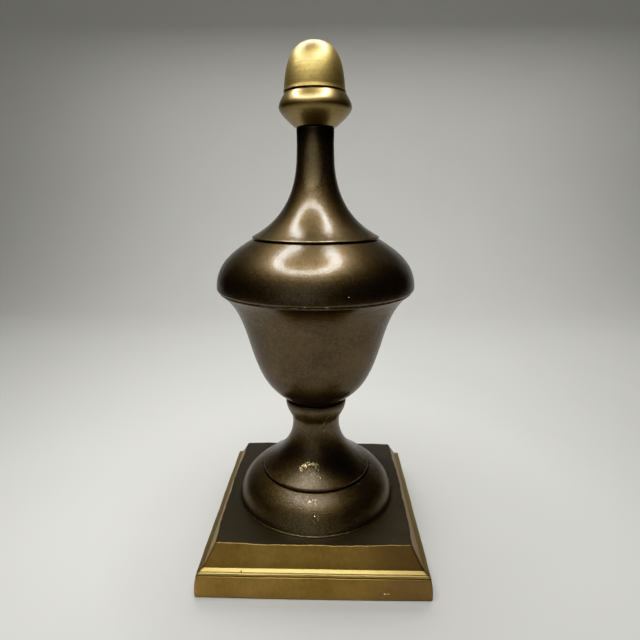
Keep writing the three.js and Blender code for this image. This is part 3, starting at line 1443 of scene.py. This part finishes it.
@dataclass
class Studio:
    """Pale sweep, a ring of small soft lights overhead, a wash for the backdrop, and the camera.

    Attributes:
        floor_colour: Colour of the sweep.
        floor_shade: Its faint clouds.
        floor_half_width: How far the sweep reaches to each side and to the front.
        bend_start: Where the floor starts to curve up.
        bend_radius: Radius of that curve.
        wall_height: Height of the backdrop.
        ring_centre: Middle of the ring of lamps.
        ring_radius: Its radius.
        ring_lamps: Number of its lamps.
        lamp_width: Breadth of a lamp.
        lamp_radiance: Radiance of a lamp.
        room_dark: Colour of the room away from the front.
        room_front: Colour of the room above and behind the camera.
        front_way: Direction of that lighter part.
        front_squash: How much narrower it is along each axis.
        front_spread: Distances from that direction between which it fades out.
        wash_place: Place of the backdrop's light.
        wash_size: Its two sides.
        wash_power: Its power, in watts.
        camera_place: Place of the camera.
        camera_tilt: Its rotation, in degrees.
        lens: Its focal length.
        tone: Pairs of light and shown brightness on the tone curve.
    """

    floor_colour: Colour = (0.74, 0.735, 0.695)
    floor_shade: Colour = (0.71, 0.705, 0.665)
    floor_half_width: float = 900.0
    bend_start: float = 420.0
    bend_radius: float = 260.0
    wall_height: float = 1100.0
    ring_centre: Point = (-24.0, -26.0, 312.0)
    ring_radius: float = 76.0
    ring_lamps: int = 20
    lamp_width: float = 15.0
    lamp_radiance: float = 42.0
    room_dark: Colour = (0.015, 0.015, 0.015)
    room_front: Colour = (0.43, 0.43, 0.42)
    front_way: Point = (-0.24, -0.93, 0.28)
    front_squash: Point = (1.35, 1.0, 0.8)
    front_spread: tuple[float, float] = (0.2, 0.9)
    wash_place: Point = (60.0, 330.0, 450.0)
    wash_size: tuple[float, float] = (900.0, 300.0)
    wash_power: float = 2.0
    camera_place: Point = (6.39, -209.30, 162.89)
    camera_tilt: tuple[float, float, float] = (75.37, 0.0, 1.216)
    lens: float = 26.09
    tone: tuple[tuple[float, float], ...] = (
        (0.0, 0.0),
        (0.008, 0.0032),
        (0.0214, 0.0155),
        (0.0715, 0.068),
        (0.145, 0.145),
        (0.395, 0.40),
        (0.62, 0.615),
        (0.853, 0.80),
        (1.08, 0.93),
        (1.35, 1.0),
    )

    def sweep_floor(self) -> None:
        """Makes the floor that curves up behind the finial.

        Formula: the section runs flat to where the bend starts, goes through a quarter circle
        and then straight up, and is carried from the left to the right end of the floor.
        """
        half, start, bend = self.floor_half_width, self.bend_start, self.bend_radius
        turn = np.linspace(0.0, 0.5 * np.pi, 33)
        section = np.concatenate(
            [
                np.stack([np.linspace(-half, start - 20.0, 14), np.zeros(14)], axis=1),
                np.stack([start + bend * np.sin(turn), bend * (1.0 - np.cos(turn))], axis=1),
                np.array([[start + bend, 600.0], [start + bend, self.wall_height]]),
            ]
        )
        across = np.linspace(-half, half, 9)
        grid = np.stack(np.broadcast_arrays(across, section[:, 0:1], section[:, 1:2]), axis=-1)
        rows, columns = grid.shape[:2]
        row = np.arange(rows - 1)[:, None] * columns
        here = np.arange(columns - 1)[None, :]
        above = row + columns
        quads = np.stack([row + here, row + here + 1, above + here + 1, above + here], axis=-1)
        mesh = bpy.data.meshes.new("pale_sweep")
        mesh.from_pydata(grid.reshape(-1, 3) * MM, [], quads.reshape(-1, 4).tolist())
        mesh.shade_smooth()
        material, graph, shader, place = start_material("pale sweep")
        soft = graph.noise(place, 14.0, 2.0)
        cloudy = graph.blend(soft, self.floor_colour, self.floor_shade)
        graph.feed(shader.inputs["Base Color"], cloudy)
        shader.inputs["Roughness"].default_value = 0.9
        mesh.materials.append(material)
        floor = bpy.data.objects.new("pale_sweep", mesh)
        bpy.context.scene.collection.objects.link(floor)

    def lamp(self, name: str, place: Point, size: tuple[float, float], power: float) -> bpy.types.Object:
        """Makes one downward rectangular light.

        Args:
            name: Name of the light.
            place: Its centre, in millimetres.
            size: Its two sides, in millimetres.
            power: Its power, in watts.

        Returns:
            The light's object.
        """
        data = bpy.data.lights.new(name, "AREA")
        data.shape = "RECTANGLE"
        data.size, data.size_y = size[0] * MM, size[1] * MM
        data.energy = power
        light = bpy.data.objects.new(name, data)
        light.location = tuple(v * MM for v in place)
        light.visible_camera = False
        bpy.context.scene.collection.objects.link(light)
        return light

    def ring(self) -> None:
        """Sets the small lights in a circle, each lying along it and shining down."""
        length = 2.0 * math.pi * self.ring_radius / self.ring_lamps
        area = length * self.lamp_width * MM**2
        power = self.lamp_radiance * math.pi * area
        for index in range(self.ring_lamps):
            angle = 2.0 * math.pi * index / self.ring_lamps
            place = (
                self.ring_centre[0] + self.ring_radius * math.cos(angle),
                self.ring_centre[1] + self.ring_radius * math.sin(angle),
                self.ring_centre[2],
            )
            light = self.lamp(f"ring_lamp_{index:02d}", place, (self.lamp_width, length), power)
            light.rotation_euler = (0.0, 0.0, angle)

    def wash(self) -> None:
        """Lights the floor and backdrop behind the finial, out of sight of its mirror gloss."""
        light = self.lamp("backdrop_wash", self.wash_place, self.wash_size, self.wash_power)
        light.visible_glossy = False

    def surroundings(self) -> None:
        """Gives the room a dim light, from above and behind the camera."""
        world = bpy.data.worlds.new("dim room")
        world.use_nodes = True
        graph = Graph(world.node_tree)
        way = graph.add("ShaderNodeTexCoord").outputs["Generated"]
        aside = graph.vector("MULTIPLY", graph.vector("SUBTRACT", way, self.front_way), self.front_squash)
        share = graph.span(graph.vector("LENGTH", aside), *self.front_spread, 1.0, 0.0)
        background = world.node_tree.nodes["Background"]
        graph.feed(background.inputs["Color"], graph.blend(share, self.room_dark, self.room_front))
        bpy.context.scene.world = world

    def develop(self) -> None:
        """Sets the tone curve: straight in the darks, with a long soft shoulder in the lights."""
        view = bpy.context.scene.view_settings
        view.view_transform = "Standard"
        view.use_curve_mapping = True
        curves = view.curve_mapping
        top = self.tone[-1][0]
        curves.white_level = (top, top, top)
        curve = curves.curves[3]
        for light, shown in self.tone[1:-1]:
            curve.points.new(light / top, shown)
        curve.points[-1].location = (1.0, self.tone[-1][1])
        for point in curve.points:
            point.handle_type = "VECTOR"
        curves.update()

    def camera(self) -> None:
        """Sets the camera at the photograph's viewing angle."""
        data = bpy.data.cameras.new("camera")
        data.lens = self.lens
        data.sensor_width = 36.0
        data.clip_start = 0.01
        eye = bpy.data.objects.new("camera", data)
        eye.location = tuple(v * MM for v in self.camera_place)
        eye.rotation_euler = tuple(math.radians(v) for v in self.camera_tilt)
        bpy.context.scene.collection.objects.link(eye)
        bpy.context.scene.camera = eye

    def build(self) -> None:
        """Sets up stage, lights, tone and camera."""
        self.sweep_floor()
        self.ring()
        self.wash()
        self.surroundings()
        self.develop()
        self.camera()
        LOG.info("studio: %d ring lamps, sweep and camera", self.ring_lamps)


def main() -> None:
    logging.basicConfig(level=logging.INFO, format="%(name)s: %(message)s")
    Studio().build()
    effects = Effects()
    for part in (SquareBase(), Pedestal(), Bowl(), Lid(), Knob()):
        part.build(effects)


if __name__ == "__main__":
    main()
